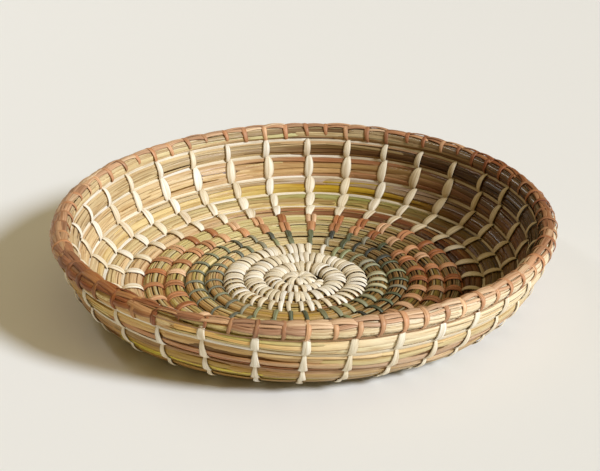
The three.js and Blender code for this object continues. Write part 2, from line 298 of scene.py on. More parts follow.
def split_leaf(name, shadow, glow, roughness, sheen):
    """Dry split leaf: its own tone, fine fibres and broader streaks along it, stains, painted shade
    along the edges of each strip, where it meets its neighbours, and a satin skin, with the hard
    shine of living leaf on some strips. Shadow and glow tint its dark and its light fibres, and
    shadow is also the colour of the painted shade along the edges."""
    material = bpy.data.materials.new(name)
    material.use_nodes = True
    tree = material.node_tree
    shader = tree.nodes["Principled BSDF"]
    kit = Shade(tree)

    def own(attribute, output="Fac"):
        return kit.node("ShaderNodeAttribute", {"attribute_name": attribute}, {}, output)

    tone = own("tone", "Color")
    along, across, strip = own("along"), own("across"), own("strip")

    def grain(length, width, detail, offset):
        spot = kit.node("ShaderNodeCombineXYZ", {},
                        {"X": along * length, "Y": across * width, "Z": strip * offset})
        return kit.node("ShaderNodeTexNoise", {},
                        {"Vector": spot, "Scale": 1.0, "Detail": detail, "Roughness": 0.6}, "Fac")

    def share(value, none_at, full_at, most):
        ends = {"From Min": none_at, "From Max": full_at, "To Min": 0.0, "To Max": most}
        return kit.node("ShaderNodeMapRange", {"clamp": True}, {"Value": value, **ends})

    def tint(colour, amount, by, blend):
        return kit.node("ShaderNodeMix", {"data_type": "RGBA", "blend_type": blend},
                        {0: amount, 6: colour, 7: (*by, 1.0)}, 2)

    fibre = grain(length=80.0, width=7.0, detail=3.0, offset=91.0)
    streak = grain(length=22.0, width=1.9, detail=2.0, offset=57.0)
    stain = grain(length=34.0, width=0.5, detail=2.0, offset=33.0)
    colour = tint(tone, share(streak, none_at=0.52, full_at=0.3, most=0.75), shadow, "MULTIPLY")
    colour = tint(colour, share(streak, none_at=0.5, full_at=0.72, most=0.55), glow, "SCREEN")
    colour = tint(colour, share(fibre, none_at=0.5, full_at=0.28, most=0.7), shadow, "MULTIPLY")
    colour = tint(colour, share(fibre, none_at=0.52, full_at=0.76, most=0.5), glow, "SCREEN")
    colour = tint(colour, share(stain, none_at=0.56, full_at=0.78, most=0.55), STAINED, "MULTIPLY")
    # Painted shade: each strip is darkened towards its edges, where it meets its neighbours.
    colour = tint(colour, share(across * across, none_at=0.6, full_at=1.0, most=0.55), shadow, "MULTIPLY")
    tree.links.new(colour.socket, shader.inputs["Base Color"])
    worn = roughness + 0.2 * (0.5 - fibre) + 0.25 * (0.5 - streak)
    tree.links.new(worn.socket, shader.inputs["Roughness"])
    relief = kit.node("ShaderNodeBump", {},
                      {"Strength": 0.5, "Distance": FIBRE_DEPTH, "Height": fibre + streak})
    tree.links.new(relief.socket, shader.inputs["Normal"])
    shader.inputs["Specular IOR Level"].default_value = sheen
    tree.links.new(own("shine").socket, shader.inputs["Coat Weight"])
    shader.inputs["Coat Roughness"].default_value = 0.1
    shader.inputs["Coat IOR"].default_value = 1.75
    return material


cream_leaf = split_leaf("cream split leaf", shadow=(0.66, 0.57, 0.42), glow=(0.17, 0.17, 0.14),
                        roughness=0.5, sheen=0.35)
CREAM = tones_of("f3ead3 f0e4ca f7f0df ede0c2")

# Strips drawn over the button from its eye to the first seam, some of them swirled the other way
KNOT_STRIPS = 21
KNOT_EYE = 1.0
KNOT_OVERLAP = 0.6
KNOT_TOP = 4.4
KNOT_CROWN = 1.0
KNOT_TUCK = 2.4
KNOT_SWIRL = 1.6
SWIRL_BACK = -0.6
STRIP_ENDS = 0.6
STRIP_BELLY = 0.95
knot = Leaves(11)
out = np.linspace(0.0, 1.0, 9)
reach = KNOT_EYE + (KNOT_SEAM + KNOT_OVERLAP) * out
high = KNOT_TOP + KNOT_CROWN * np.sin(math.pi * out ** 0.8) - KNOT_TUCK * out ** 5
strip_half = STRIP_ENDS + STRIP_BELLY * np.sin(math.pi * out * 0.86)
for number in range(KNOT_STRIPS):
    way = (number + 0.5 * (number % 2)) / KNOT_STRIPS
    swirl = KNOT_SWIRL * np.sin(math.pi * out) * (1 if number % 3 else SWIRL_BACK)
    knot.lay(place(way, swirl, reach, high), facing(way, swirl, reach, 1.0, 0.9 * (out - 0.4)),
             strip_half, CREAM[number % len(CREAM)])

# The strip wound under them on the inside, and the one that shows on the underside
WINDING_EYE = 1.2


def wind(turns, spacing, lift, side, half_width, tone):
    s = WINDING_EYE + spacing * turns
    knot.lay(place(turns, 0.0, s, lift), facing(turns, 0.0, s, side, 0.0), half_width, tone)


wound = np.linspace(0.0, 2.6, 60)
wind(wound, spacing=2.5, lift=3.2 + 0.1 * np.sin(9 * wound), side=1.0, half_width=1.35, tone=CREAM[3])
wind(np.linspace(0.0, 3.2, 70), spacing=2.1, lift=-4.4, side=-1.0, half_width=1.3, tone=CREAM[1])
KNOT_CORE_RADIUS = 7.6
KNOT_CORE_ENDS = np.array([-4.6, 3.6])
knot.lay(place(0.0, 0.0, 0.01, KNOT_CORE_ENDS), np.array([1.0, 0.0, 0.0]),
         KNOT_CORE_RADIUS, linear("b99a62"), heart=1.0)
knot_piece = grow("starting_knot", knot, cream_leaf, thickness=0.26, camber=0.2, heart_thickness=1.0)
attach(knot_piece, "root")
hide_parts("centre_knot")


# Leaf bundles
# Handfuls of dry flax leaf laid in one clockwise spiral, spliced end to end under the stitches.
# The floor has thin round straws, and the knuckle, wall and rim have broad flat satin strips.

CLIMB_ARC = 0.14
CLIMB_GROWTH = 1.25
SEAM = 2.75
FULL_WIDTH = COIL_PITCH - SEAM
TAPER_WIDTH = 2.4
STITCH_STEP = 3.5
GREEN_RADIUS = 37.5
RUST_RADIUS = 64.0
CREAM_INSET = 10.2
TAIL_END = -0.02

# The hand's unevenness: slow and quick sway, and one round that is thin at the back
SLOW_SWAY = 0.5
SLOW_WAVES = 2.7
QUICK_SWAY = 0.35
QUICK_WAVES = 6.3
RIM_STEADY = 0.4
THIN_ROUND = 3.2
THIN_TURN = -1.64
THIN_SPREAD = 0.15

# How far the upper seams are raised, by the turn: all round, but not at the front of the lower
# rounds, and more at the front of the last two
RAISED_TURNS, RAISED = (-5.5, -2.5, -0.14, 0), (0, 1.8, 1.8, 0)
FRONT_TURNS, FRONT_RAISED = (-2, -1.4, -0.9, -0.14, 0, 0.2), (0, 2.4, 2.6, 3.4, 2, 2)
FRONT_LOW_TURNS, FRONT_LOW = (-2.2, -1.7), (1, 0)
RIM_DROP = 1.6
RIM_DROP_ARC = 0.12


def even_seam(turn):
    """The seam under the coil, as a length along the profile; the seam over it is one turn later."""
    turn = np.asarray(turn, float)
    lap = np.floor(turn)
    arc = np.minimum(1, CLIMB_ARC * CLIMB_GROWTH ** (-1 - lap))
    part = np.clip((turn - lap - 1 + arc) / arc, 0, 1)
    climb = part * arc + (3 * part ** 2 - 2 * part ** 3) * (1 - arc)
    return np.where(turn >= 0, EDGE, np.maximum(KNOT_SEAM, EDGE + COIL_PITCH * (lap + climb)))


def seam(turn):
    """The seam as the hand laid it: a little uneven, high at the back where one round is thin, and
    raised under the rim, most of all at the front, so that the rim is slim. Its crest is lower."""
    turn = np.asarray(turn, float)
    sway = SLOW_SWAY * np.sin(SLOW_WAVES * TURN * turn + 1.0)
    sway = sway + QUICK_SWAY * np.sin(QUICK_WAVES * TURN * turn)
    sway = sway + THIN_ROUND * np.exp(-((turn - THIN_TURN) / THIN_SPREAD) ** 2)
    sway = np.where(turn >= RIM_TURN, RIM_STEADY, 1.0) * sway * np.clip(turn - START_TURN - 1, 0, 1)
    to_front = np.maximum(0, -np.sin(azimuth(turn))) ** 2
    raised = np.interp(turn, RAISED_TURNS, RAISED)
    raised = raised * (1 - to_front * np.interp(turn, FRONT_LOW_TURNS, FRONT_LOW))
    raised = raised + to_front * np.interp(turn, FRONT_TURNS, FRONT_RAISED)
    return even_seam(turn) + sway + raised - RIM_DROP * np.clip(1 + turn / RIM_DROP_ARC, 0, 1)


def middle(turn):
    return (seam(turn) + seam(turn + 1)) / 2


def round_length(s, least=0.0):
    """The length once round the basket, at a length along its profile."""
    return TURN * max(least, float(profile(s)[0]))


FLOOR_GROOVE = 0.75
WALL_GROOVE = 0.1
LEAST_HALF = 0.6


def half_across(turn):
    """Half the width of a bundle from seam to seam, with a groove left on each side."""
    groove = np.interp(turn, (WALL_TURN, WALL_TURN + 1), (FLOOR_GROOVE, WALL_GROOVE))
    return np.maximum(LEAST_HALF, (seam(turn + 1) - seam(turn)) / 2 - groove)


def turn_at(radius):
    return (radius - EDGE) / COIL_PITCH


def cad_columns(turn):
    """Stitches to a round in the frame: doubled where there is room, and twice as many on the rim."""
    if turn >= RIM_TURN:
        return CENTRE_COLUMNS * 8
    count = CENTRE_COLUMNS * 4
    while count > CENTRE_COLUMNS and TURN * float(even_seam(turn)) / count < STITCH_ROOM:
        count //= 2
    return count


# Where the coil and its colours start and end, and where each strand of the frame takes over
START_TURN = turn_at(KNOT_SEAM + SEAM + TAPER_WIDTH) - 1
END_TURN = 0.0
while float(even_seam(END_TURN + 1) - even_seam(END_TURN)) - SEAM < TAPER_WIDTH:
    END_TURN -= 0.001
RIM_TURN = END_TURN - 1
GREEN_TURN, RUST_TURN = turn_at(GREEN_RADIUS), turn_at(RUST_RADIUS)
WALL_TURN = turn_at(FLOOR_RADIUS - CREAM_INSET)
cad_stitches = []
following = START_TURN + 0.5 / CENTRE_COLUMNS
while following < END_TURN:
    cad_stitches.append(following)
    following += (1 - STITCH_STEP / round_length(even_seam(following))) / cad_columns(following)
cad_stitches.append(following)

# The stitches as they stand in the picture: close petals in the middle, then chains that lean by a
# small drift with every round, and on the rim twice as many
COLUMNS = 33
DRIFT = 1.0
COLUMN_SLIP = 1.3
BACK_COLUMN = -2.6325
FRONT_SHIFT = 0.62
FRONT_AZIMUTH = math.radians(258)
STAR_START = 0.02
STAR_OUTER_TURNS = 1.2
PETAL_SPACING = 3.3
FRONT_SPACING = 3.2


def onward(turn, count):
    """From one stitch to the next, in turns, with so many stitches to a round."""
    return (1 - DRIFT / round_length(seam(turn))) / count


def eased(turn):
    """A column's place: the columns at the front stand a little further to the right."""
    to_front = max(0.0, math.cos(float(azimuth(turn)) - FRONT_AZIMUTH))
    return turn - FRONT_SHIFT * to_front ** 2 / COLUMNS


first_on_rim = min(turn for turn in cad_stitches if turn >= RIM_TURN)
chain = [BACK_COLUMN]
while chain[0] > GREEN_TURN:
    chain.insert(0, chain[0] - onward(chain[0], COLUMNS))
while chain[-1] < TAIL_END:
    on_rim = eased(chain[-1]) >= first_on_rim
    chain.append(chain[-1] + onward(chain[-1], 2 * COLUMNS if on_rim else COLUMNS))
star = [START_TURN + STAR_START]
while star[-1] < chain[0]:
    outermost = np.clip(star[-1] - GREEN_TURN + STAR_OUTER_TURNS, 0, 1)
    to_front = max(0.0, -math.sin(azimuth(star[-1])))
    spacing = PETAL_SPACING + FRONT_SPACING * (outermost * to_front)
    star.append(star[-1] + spacing / round_length(middle(star[-1])))
column_shift = np.random.default_rng(7).uniform(-COLUMN_SLIP, COLUMN_SLIP, COLUMNS)
for number, turn in enumerate(chain):
    chain[number] = eased(turn)
    if chain[number] < first_on_rim:
        chain[number] += column_shift[number % COLUMNS] / round_length(seam(turn))
stitches = np.array(star[:-1] + chain)

# A stitch draws its bundle in by a share of its thickness, over a length to each side
WAIST = 0.07
RIM_WAIST = 0.12
WAIST_LENGTH = 3.2


def drawn_in(turn):
    """How far a stitch draws the bundle in: 1 between stitches and less under one."""
    after = np.clip(np.searchsorted(stitches, turn), 1, len(stitches) - 1)
    near = np.minimum(np.abs(stitches[after] - turn), np.abs(turn - stitches[after - 1]))
    length = near * TURN * profile(middle(turn))[0]
    depth = np.where(np.asarray(turn) < RIM_TURN, WAIST, RIM_WAIST)
    return 1 - depth * np.exp(-(length / WAIST_LENGTH) ** 2)


FLOOR_HALF_THICK = 4.6
WALL_HALF_THICK = 5.0
FULL_FROM = 0.66 * FULL_WIDTH
THIN_SHARE = 0.4
TAIL_SHARE = 0.3
KNUCKLE_TURNS = (WALL_TURN + 0.6, WALL_TURN + 2)


def half_through(turn):
    """Half the thickness of a bundle, thinner where it is narrow and at the rim's tail."""
    fill = np.minimum(1, np.maximum(0, seam(turn + 1) - seam(turn) - SEAM) / FULL_FROM)
    tail = np.clip(turn / END_TURN, TAIL_SHARE, 1)
    full = np.interp(turn, KNUCKLE_TURNS, (FLOOR_HALF_THICK, WALL_HALF_THICK))
    return full * (THIN_SHARE + (1 - THIN_SHARE) * fill) * tail * drawn_in(turn)


FLOOR_POWER = 2.1
WALL_POWER = 2.2


def oval(turn, angle, fuller=0.0):
    """Place and outward direction on a bundle's skin, an oval that is a little fuller on the wall.
    Angle 0 is the inside, 90 degrees the seam above."""
    sine, cosine = np.sin(angle), np.cos(angle)
    power = np.interp(turn, (WALL_TURN, WALL_TURN + 1), (FLOOR_POWER, WALL_POWER)) + fuller
    wide, deep = half_across(turn), half_through(turn)
    s = wide * np.sign(sine) * np.abs(sine) ** (2 / power)
    lift = deep * np.sign(cosine) * np.abs(cosine) ** (2 / power)
    s_part = np.sign(sine) * np.abs(sine) ** (2 - 2 / power) / wide
    lift_part = np.sign(cosine) * np.abs(cosine) ** (2 - 2 / power) / deep
    size = np.hypot(s_part, lift_part) + 1e-9
    return s, lift, lift_part / size, s_part / size


LEAST_STEP_RADIUS = 6.0


def coil_steps(start, end, length):
    """Turns from start to end, about one length apart along the coil."""
    turns = [start]
    while turns[-1] < end:
        turns.append(turns[-1] + length / round_length(middle(turns[-1]), LEAST_STEP_RADIUS))
    turns[-1] = end
    return np.array(turns)


# A lane looks outwards where the cosine of its angle is under OUTER_BELOW
OUTER_BELOW = 0.2
UPPER_ROUNDS = -2
# Painted shade and painted light by the azimuth: the outside is darkened and warmed to the left, where it
# lies in shade, and made paler to the right, partly its own tone and partly painted light where the
# daylight falls; the inside is darkened brown to the right, partly its own tone and partly painted shade of
# that wall.
WARM_PAINTED_SHADE = np.array([0.04, 0.1, 0.28])
BROWN_TONE_AND_SHADE = np.array([0.8, 0.89, 0.95])
OUTER_PALE = linear("f2e4c4")
PALE_ABOVE, PALE_BELOW = 0.8, 0.35
GOLDEN = linear("e2c99c")
GOLDEN_FLOOR, GOLDEN_WALL = 0.2, 0.7
BACK_PALE_TONE = linear("efe2ae")
BACK_PALE_FLOOR, BACK_PALE_WALL = 0.5, 0.4
BROWN_FLOOR, BROWN_WALL = 0.72, 1.0


def tone_with_painted_light(turns, tone, facing_in):
    """The leaf's tone by its place round the basket. On the inside it is golden to the left, paler at
    the back and darker brown to the right, partly its own tone and partly painted shade; on the
    outside it is darker and warmer to the left as painted shade, and paler to the right, partly its
    own tone and partly painted light."""
    angle = azimuth(turns)[:, None]
    to_right, to_back = np.cos(angle), np.sin(angle)
    if facing_in < OUTER_BELOW:
        warm = WARM_PAINTED_SHADE * np.clip(-1.5 * to_right - 0.3, 0, 1)
        pale = np.where(turns > UPPER_ROUNDS, PALE_ABOVE, PALE_BELOW)[:, None]
        pale = pale * np.clip(0.45 + 2.0 * to_right, 0, 1)
        return tone * (1 - warm) * (1 - pale) + OUTER_PALE * pale
    floor = (turns < WALL_TURN)[:, None]
    golden = np.where(floor, GOLDEN_FLOOR, GOLDEN_WALL) * np.clip(0.15 - to_right, 0, 1)
    paler = np.where(floor, BACK_PALE_FLOOR * np.maximum(0, to_back),
                        BACK_PALE_WALL * np.maximum(0, to_back * -to_right))
    brown = np.clip(1.2 * to_right, 0, 1) * BROWN_TONE_AND_SHADE * np.where(floor, BROWN_FLOOR, BROWN_WALL)
    tone = tone * (1 - golden) + GOLDEN * golden
    return (tone * (1 - paler) + BACK_PALE_TONE * paler) * (1 - brown)


LEAST_LANE_RADIUS = 8.0
LANE_ENDS = (-4, 12)
PATH_STEP = 4.0
STRIP_OVERLAP = 8.0
SHORTEST_STRIP = 6
STRIP_TIP = 6.0
TIP_DIP = 0.9
STRIP_SPREAD = 0.6
STRIP_TWIST = 0.2
STRIP_WAVE = 0.12
SWAY_LENGTH, TWIST_LENGTH, WAVE_LENGTH = (16, 36), (18, 40), (9, 20)
ROUND_HALF = 6
SHINE_AZIMUTH = math.radians(38)


def wave(chance, length, between):
    """A wave along a strip, with a length and a start by chance."""
    return np.sin(length / chance.uniform(*between) + chance.uniform(0, 6))


def lay_lane(leaves, start, end, angle, tones, half_width, lengths, rise, wander, gloss=0.0):
    """Strips one after another along a bundle, at an angle round it, glossy to the right and back."""
    chance = leaves.chance
    around = round_length(middle(start), LEAST_LANE_RADIUS)
    end = end + chance.uniform(*LANE_ENDS) / around
    at = start - chance.uniform(*LANE_ENDS) / around
    end, at = min(end, TAIL_END), max(at, START_TURN)
    first_cut = chance.uniform(0.3, 1.0)
    while at < end:
        around = round_length(middle(at), LEAST_LANE_RADIUS)
        reach = first_cut * chance.uniform(*lengths) / around
        first_cut = 1.0
        last = min(end, at + reach)
        turns = coil_steps(at, last, PATH_STEP)
        length = (turns - at) * around
        at += reach - STRIP_OVERLAP / around
        if length[-1] < SHORTEST_STRIP:
            continue
        sway = wave(chance, length, SWAY_LENGTH) + STRIP_SPREAD * chance.standard_normal()
        s, lift, lift_part, s_part = oval(turns, angle + math.radians(wander) * sway)
        ends = np.minimum(1, np.minimum(length, length[-1] - length) / STRIP_TIP)
        up = chance.uniform(*rise) - TIP_DIP * (1 - ends) ** 2
        twist = STRIP_TWIST * wave(chance, length, TWIST_LENGTH)
        base = middle(turns)
        points = place(turns, 0.0, base + s + s_part * up, lift + lift_part * up)
        ways = facing(turns, 0.0, base, lift_part - twist * s_part, s_part + twist * lift_part)
        width = chance.uniform(*half_width) * (0.5 + 0.5 * ends) * half_across(turns) / ROUND_HALF
        width = width * (1 + STRIP_WAVE * wave(chance, length, WAVE_LENGTH))
        tone = leaves.pick(tones, 0.65 if at < WALL_TURN else 0.85, 1.12)
        other = tone * chance.uniform(0.82, 1.12, 3)
        share = (length / length[-1])[:, None]
        to_shine = np.cos(azimuth(turns) - SHINE_AZIMUTH)
        shine = gloss * np.clip(2.5 * to_shine - 1.4, 0, 1)
        tone = tone_with_painted_light(turns, tone * (1 - share) + other * share, math.cos(angle))
        leaves.lay(points, ways, width, tone, 0.0, shine)


HEART_STEP = 5.0
HEART_SHARE = 0.96

# The lanes of a bundle: their angles in degrees, and the least and most of each strip's half width,
# length and height over the bundle's skin
STRAW_ANGLES = np.linspace(-72, 72, 9)
STRAW_LANE = {"half_width": (0.7, 1.2), "lengths": (60, 190), "rise": (-0.3, 0.2), "wander": 4}
BROAD_ANGLES = {"inside": (50, 14, -14, -50), "outside": (50, 17, -17, -50)}
BROAD_HALF = {"inside": (2.0, 2.7), "outside": (2.4, 3.0)}
BROAD_LANE = {"lengths": (140, 420), "rise": (-0.1, 0.25), "wander": 4}
FINE_ANGLES = {"inside": (24, -30), "outside": (-24,)}
FINE_LANE = {"half_width": (0.5, 1.1), "lengths": (40, 140), "rise": (0.25, 0.45), "wander": 14}
CREST_ANGLES = (74, 90, 106)
CREST_LANE = {"half_width": (1.3, 1.9), "lengths": (90, 240), "rise": (-0.3, 0.0), "wander": 4}
GLOSSY_LANES = 2
WALL_GLOSS = 0.3
RIM_GLOSS = 0.9


def bundle(node, seed, start, end, inside, outside, heart="6a461c", straw=False):
    """One length of bundle: a heart coloured dark as painted shade, which shows only in the gaps between
    the strips, and strips of leaf laid round it. The tones of flat strips are given from the seam
    above to the seam below."""
    leaves = Leaves(seed)
    turns = coil_steps(start, end, HEART_STEP)
    base = middle(turns)
    # The heart's dark colour is painted shade for the gaps between the strips.
    leaves.lay(place(turns, 0.0, base, 0.0), facing(turns, 0.0, base, 1.0, 0.0),
               half_across(turns) * HEART_SHARE, linear(heart), heart=1.0)
    on_rim = node == "rim_bundle"
    for face, shades in (("inside", inside), ("outside", outside)):
        tones = tones_of(shades)

        def round_to(angle):
            return math.pi - angle if face == "outside" else angle

        if straw:
            for angle in np.radians(STRAW_ANGLES):
                lay_lane(leaves, start, end, round_to(angle), tones, **STRAW_LANE)
            continue
        for lane, angle in enumerate(np.radians(BROAD_ANGLES[face])):
            gloss = 0.0
            if face == "inside" and lane < GLOSSY_LANES:
                gloss = RIM_GLOSS if on_rim else WALL_GLOSS
            lay_lane(leaves, start, end, round_to(angle), tones[lane:lane + 2],
                     half_width=BROAD_HALF[face], gloss=gloss, **BROAD_LANE)
        for angle in np.radians(FINE_ANGLES[face]):
            lay_lane(leaves, start, end, round_to(angle), tones, **FINE_LANE)
    if on_rim:
        for angle in np.radians(CREST_ANGLES):
            lay_lane(leaves, start, end, angle, tones_of(outside), **CREST_LANE)
    material, thickness = (round_straw, 0.55) if straw else (flat_leaf, 0.16)
    piece = grow(node + "_leaves", leaves, material, thickness, camber=0.1)
    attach(piece, "root")
    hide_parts(node)


round_straw = split_leaf("round dry straw", shadow=(0.55, 0.40, 0.24), glow=(0.18, 0.15, 0.07),
                         roughness=0.4, sheen=0.3)
flat_leaf = split_leaf("flat dry leaf", shadow=(0.60, 0.44, 0.26), glow=(0.13, 0.10, 0.03),
                       roughness=0.3, sheen=0.25)
STRAWS = "e0c68c d2ad6a c29652 e8daae bfa962 d2ab64 ad8440"
# The heart colours are painted shade that shows in the gaps between the strips.
bundle("centre_bundle", seed=21, start=START_TURN, end=GREEN_TURN, heart="3c2a10",
       inside=STRAWS, outside=STRAWS, straw=True)
bundle("green_band_bundle", seed=22, start=GREEN_TURN, end=RUST_TURN, heart="36240c",
       inside=STRAWS + " bf9742 a89640", outside=STRAWS, straw=True)
bundle("rust_band_bundle", seed=23, start=RUST_TURN, end=WALL_TURN, heart="36240c",
       inside="dccb92 c9b960 b9a446 e8e0b8 d0aa64 b08844", outside=STRAWS, straw=True)
bundle("wall_bundle_1", seed=24, start=WALL_TURN, end=-5.0,
       inside="c2b272 c9a46a b07a50 a86e4c b98e5c", outside="b59a62 c0a45c 94734a b08c58")
bundle("wall_bundle_2", seed=25, start=-5.0, end=-4.0,
       inside="d8cc9c c0b87c b2a862 c6b272 bc9468", outside="d8ca58 cfbc58 a9844f b59a62")
bundle("wall_bundle_3", seed=32, start=-4.0, end=-3.0,
       inside="c9bd9c b4a07c ccac30 ccac30 ccac30", outside="b08856 be9862 c0a052 dccc54")
bundle("wall_bundle_4", seed=33, start=-3.0, end=-2.0,
       inside="a47650 bd8f5c c9a068 d2b07e e0cda0", outside="c6a878 d6b680 caa26c ce9e70")
bundle("wall_bundle_5", seed=28, start=-2.0, end=RIM_TURN, heart="5c3e1c",
       inside="c4ac7e 907048 725230 a07c50 cab688", outside="cca054 e2c274 eed794 eedc9e")
bundle("rim_bundle", seed=29, start=RIM_TURN, end=TAIL_END, heart="4c2e14",
       inside="a08466 c8b48e 7c6046 d8c89c bfa070", outside="c0925a dcbc88 e8d2a2 d4b07a")


# Sewing of the middle
# Wide cream strands lie side by side over the first rounds and make a star round the knot.
# Each goes over its round, under the strand of the round inside it and up beside it.

STITCHES_PER_STRAND = 16
FULLER = 0.25
FACE = np.radians(np.linspace(70, -78, 13))
BACK = np.radians(np.linspace(110, 258, 13))
SHARE = np.linspace(0.0, 1.0, 13)


def lay_loop(leaves, turn, angles, half_width, tone, top_along, foot_along, bow, proud):
    """A stitch over its round, from the seam above to the seam below, proud of the bundle and bowed."""
    share = np.linspace(0.0, 1.0, len(angles))
    turns = np.full(len(angles), turn)
    s, lift, lift_part, s_part = oval(turns, angles, FULLER)
    base = middle(turns)
    along = top_along * (1 - share) + foot_along * share + bow * np.sin(math.pi * share)
    points = place(turns, along, base + s + s_part * proud, lift + lift_part * proud)
    leaves.lay(points, facing(turns, along, base, lift_part, s_part), half_width, tone)


def petal(top, belly, foot):
    """Half widths of a stitch from the seam above to the seam below."""
    return top + (foot - top) * SHARE + (belly - (top + foot) / 2) * np.sin(math.pi * SHARE)


RUN_DIP = 0.4


def lay_run(leaves, start, end, lift, half_width, tone):
    """The strand along the groove over its round, from one stitch to the next, its ends under them."""
    turns = coil_steps(start, end, PATH_STEP)
    side = 1.0 if lift > 0 else -1.0
    share = np.linspace(0, 1, len(turns))
    near_end = np.abs(2 * share - 1) ** 6
    top = seam(turns + 1)
    width = half_width * (0.9 + 0.1 * np.cos(9 * share) + 0.5 * near_end)
    leaves.lay(place(turns, 0.0, top, lift - side * RUN_DIP * near_end),
               facing(turns, 0.0, top, side, 0.0), width, tone)


def strand_spans():
    """The first and last turn of every strand of the frame, by the colour of its band."""
    starts = {"centre": START_TURN, "green": GREEN_TURN, "rust": RUST_TURN,
              "wall": WALL_TURN, "rim": RIM_TURN}
    firsts = [int(np.searchsorted(cad_stitches, turn)) for turn in starts.values()]
    firsts.append(len(cad_stitches) - 1)
    spans = {}
    for band, first, end in zip(starts, firsts, firsts[1:]):
        number = max(1, int((end - first) / STITCHES_PER_STRAND + 0.5))
        marks = [cad_stitches[first + int((end - first) * i / number + 0.5)] for i in range(number + 1)]
        spans[band] = list(zip(marks, marks[1:]))
    spans["rim"][-1] = (spans["rim"][-1][0], TAIL_END)
    return spans


SPANS = strand_spans()
STRAND_CAMBER = 0.12


def sew(band, material, seed, tones, stitch, thickness):
    """All the strands of one colour, one piece for each length of strand."""
    for number, (first, end) in enumerate(SPANS[band], 1):
        leaves = Leaves(seed + number)
        for index in range(*np.searchsorted(stitches, (first, end))):
            stitch(leaves, stitches[index], stitches[min(index + 1, len(stitches) - 1)], tones)
        node = f"{band}_strand_{number:02d}"
        piece = grow(node + "_sewing", leaves, material, thickness, STRAND_CAMBER)
        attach(piece, "root")
        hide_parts(node)


def centre_stitch(leaves, turn, after, tones):
    """Two broad petals, inside and underneath, with no strand from one stitch to the next."""
    chance = leaves.chance
    tone = leaves.pick(tones, 0.9, 1.04)
    wide = chance.uniform(1.3, 2.1)
    lean = chance.uniform(-0.9, 0.9)
    inner = float(seam(turn) / middle(turn))
    lay_loop(leaves, turn, FACE, petal(top=1.1, belly=wide, foot=1.3 * inner), tone,
             top_along=lean - 1.4, foot_along=lean + 1.2,
             bow=chance.uniform(-0.8, 0.8), proud=chance.uniform(0.6, 1.3))
    lay_loop(leaves, turn, BACK, petal(top=1.1, belly=wide, foot=1.2 * inner), tone,
             top_along=-0.8, foot_along=0.8, bow=0.0, proud=0.7)


sew("centre", cream_leaf, seed=40, tones=CREAM, stitch=centre_stitch, thickness=0.2)


# Sewing of the green band
# Narrow strands of leaf dyed grey green, some nearly black, with the straws showing between them.
# They are sewn like the middle, and run along the seam from one stitch to the next.

green_leaf = split_leaf("grey green split leaf", shadow=(0.45, 0.45, 0.40), glow=(0.14, 0.16, 0.12),
                        roughness=0.45, sheen=0.35)
GREEN = tones_of("6a7050 555a40 93966c 3c3c36 767a58 8c8670 4b5036")
FADED_GREEN = linear("aeae92")
PALE_GREEN = linear("cfc8a0")


def green_stitch(leaves, turn, after, tones):
    """A narrow stitch, faded to the left; those of the first round are broad and pale to the right."""
    chance = leaves.chance
    tone = leaves.pick(tones, 0.85, 1.12)
    wide = chance.uniform(1.2, 1.9)
    bow = chance.uniform(-0.6, 0.6)
    way = float(azimuth(turn))
    to_left = max(0.0, -math.cos(way))
    tone = tone * (1 - 0.45 * to_left) + FADED_GREEN * 0.45 * to_left
    wide = wide - 0.4 * to_left
    if turn < GREEN_TURN + 1:
        pale = np.clip(1.6 * math.cos(way + 0.3) - 0.6, 0, 1)
        wide = wide + 0.7 * pale
        pale = pale * chance.uniform(0.1, 0.95)
        tone = tone * (1 - pale) + PALE_GREEN * pale
    for angles, proud in ((FACE, 1.0), (BACK, 0.8)):
        lay_loop(leaves, turn, angles, petal(top=1.1, belly=wide, foot=1.1), tone,
                 top_along=-0.8, foot_along=1.2, bow=bow, proud=proud)
    lay_run(leaves, turn, after, lift=1.4, half_width=1.0, tone=tone)
    lay_run(leaves, turn, after, lift=-2.5, half_width=0.75, tone=tone)


sew("green", green_leaf, seed=60, tones=GREEN, stitch=green_stitch, thickness=0.28)


# Sewing of the rust band
# Strands of leaf dyed terracotta and salmon, most of them split in two that lie side by side.
# They go round the last rounds of the floor and run along its seams.

rust_leaf = split_leaf("terracotta split leaf", shadow=(0.60, 0.44, 0.34), glow=(0.16, 0.11, 0.06),
                       roughness=0.45, sheen=0.3)
SALMON = tones_of("c89468 d8ac80 b88054 e0bc94 ac7044")
RUST_PAINTED_SHADE = np.array([0.22, 0.32, 0.38])
SPLIT_CHANCE = 0.6

# How far each half lies beside the stitch's middle, and its half width
SPLIT_HALVES = ((-1.6, 1.65), (1.6, 1.65))
WHOLE = ((0.0, 2.8),)


def rust_stitch(leaves, turn, after, tones):
    """A stitch of one broad strand or of two halves that part in the middle, darkened to the right
    as painted shade.
    """
    chance = leaves.chance
    to_right = max(0.0, math.cos(float(azimuth(turn))))
    # Painted shade: stitches to the right are darkened where the floor lies in the wall's shade.
    tone = leaves.pick(tones, 0.88, 1.12) * (1 - RUST_PAINTED_SHADE * to_right)
    bow = chance.uniform(-0.6, 0.6)
    halves = SPLIT_HALVES if chance.random() < SPLIT_CHANCE else WHOLE
    for aside, wide in halves:
        shade = tone * chance.uniform(0.9, 1.1)
        spread = aside * chance.uniform(0.8, 1.2)
        for angles, proud in ((FACE, 1.0), (BACK, 0.8)):
            lay_loop(leaves, turn, angles, petal(top=0.8 * wide, belly=wide, foot=0.75 * wide), shade,
                     top_along=0.7 * spread - 0.6, foot_along=0.8 * spread + 0.8,
                     bow=bow + 0.35 * spread, proud=proud)
    lay_run(leaves, turn, after, lift=1.6, half_width=1.1, tone=tone)
    lay_run(leaves, turn, after, lift=-2.7, half_width=0.95, tone=tone)


sew("rust", rust_leaf, seed=80, tones=SALMON, stitch=rust_stitch, thickness=0.28)


